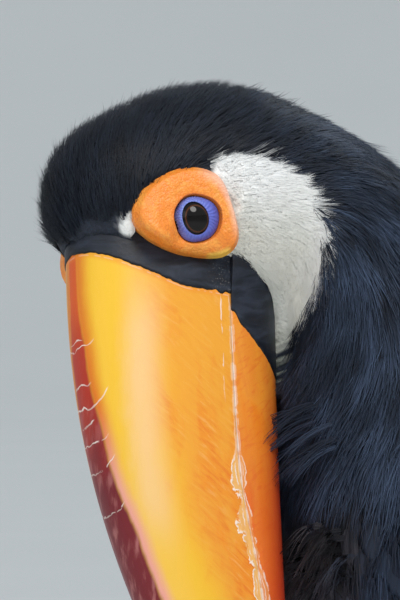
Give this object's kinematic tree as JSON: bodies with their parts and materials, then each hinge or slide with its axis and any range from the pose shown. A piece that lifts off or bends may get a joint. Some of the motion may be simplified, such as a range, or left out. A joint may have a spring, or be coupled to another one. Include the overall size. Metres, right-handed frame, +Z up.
{
  "type": "toco toucan",
  "caption": "Life-size still model of a toco toucan standing with its head bowed and turned left: black plumage, white throat, deep orange bill.",
  "frame": {"origin": "centre of the bird's footprint box, on the level of the soles", "axes": "+Z up, -Y the way the trunk faces, +X the bird's left"},
  "size_m": [0.1334, 0.334, 0.2803],
  "materials": {
    "plumage_black": "matte",
    "plumage_white": "matte",
    "plumage_red": "matte",
    "bare_skin": "satin",
    "horn_orange": "satin",
    "horn_black": "satin",
    "leg_skin": "satin",
    "claw_horn": "satin",
    "eye": "gloss"
  },
  "bodies": {
    "root": {"claw_inner_back_left": "claw_horn", "claw_inner_back_right": "claw_horn", "claw_inner_front_left": "claw_horn", "claw_inner_front_right": "claw_horn", "claw_outer_back_left": "claw_horn", "claw_outer_back_right": "claw_horn", "claw_outer_front_left": "claw_horn", "claw_outer_front_right": "claw_horn", "eye_left": "eye", "eye_right": "eye", "head": "plumage_black", "mandible": "horn_orange", "mandible_base": "horn_black", "maxilla": "horn_orange", "maxilla_base": "horn_black", "neck": "plumage_black", "orbital_skin_left": "bare_skin", "orbital_skin_right": "bare_skin", "primaries_left": "plumage_black", "primaries_right": "plumage_black", "rump": "plumage_white", "secondaries_left": "plumage_black", "secondaries_right": "plumage_black", "tail": "plumage_black", "tarsus_left": "leg_skin", "tarsus_right": "leg_skin", "thigh_left": "plumage_black", "thigh_right": "plumage_black", "toe_inner_back_left": "leg_skin", "toe_inner_back_right": "leg_skin", "toe_inner_front_left": "leg_skin", "toe_inner_front_right": "leg_skin", "toe_outer_back_left": "leg_skin", "toe_outer_back_right": "leg_skin", "toe_outer_front_left": "leg_skin", "toe_outer_front_right": "leg_skin", "trunk": "plumage_black", "vent": "plumage_red", "wing_left": "plumage_black", "wing_right": "plumage_black"}
  },
  "joints": []
}
